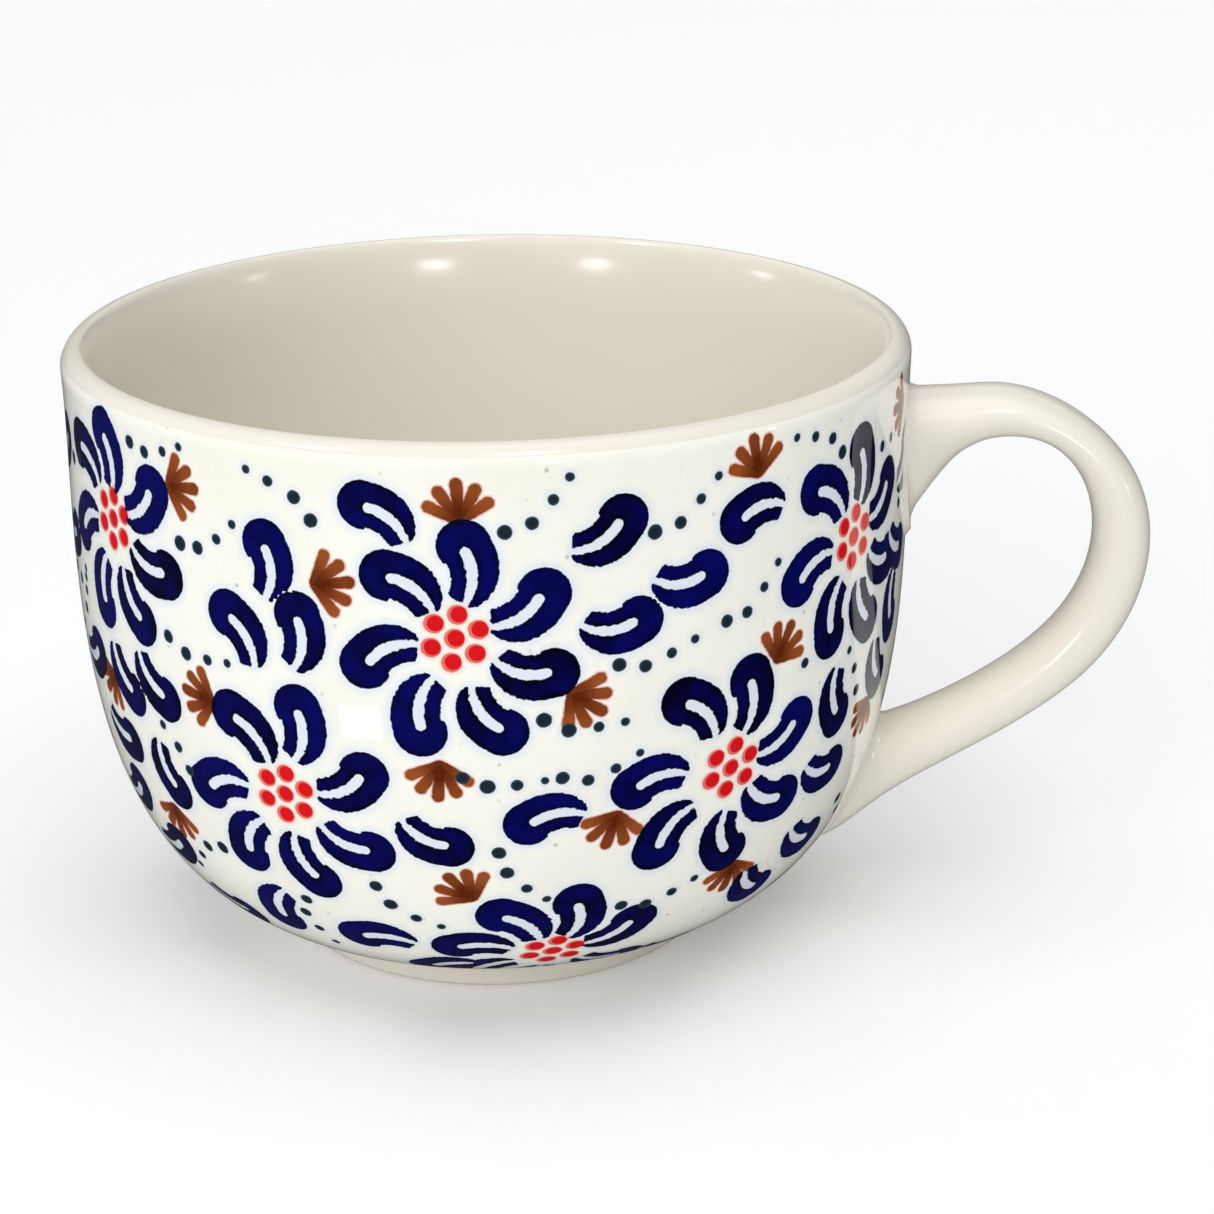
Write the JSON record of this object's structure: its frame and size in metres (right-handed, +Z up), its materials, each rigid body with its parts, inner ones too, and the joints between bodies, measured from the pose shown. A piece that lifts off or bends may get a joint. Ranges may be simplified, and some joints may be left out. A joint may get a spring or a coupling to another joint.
{
  "type": "stoneware cup with handle",
  "caption": "Large straight-sided stoneware cup with a turned foot ring, a looped strap handle luted on with slip, and an all-over painted flower pattern under clear glaze.",
  "frame": {"origin": "middle of the rectangle that the cup and its handle cover, on the surface that the foot ring stands on; the cup's own axis is the vertical line at x = -0.01825, y = 0", "axes": "+X from the cup's axis towards the handle, +Z up, +Y to the left of the handle as seen from outside it"},
  "size_m": [0.1636, 0.127, 0.094],
  "materials": {
    "painted_glaze": "gloss",
    "cream_glaze": "gloss"
  },
  "bodies": {
    "root": {"cup_body": "painted_glaze", "handle": "cream_glaze", "upper_handle_joint": "cream_glaze", "lower_handle_joint": "cream_glaze"}
  },
  "joints": []
}
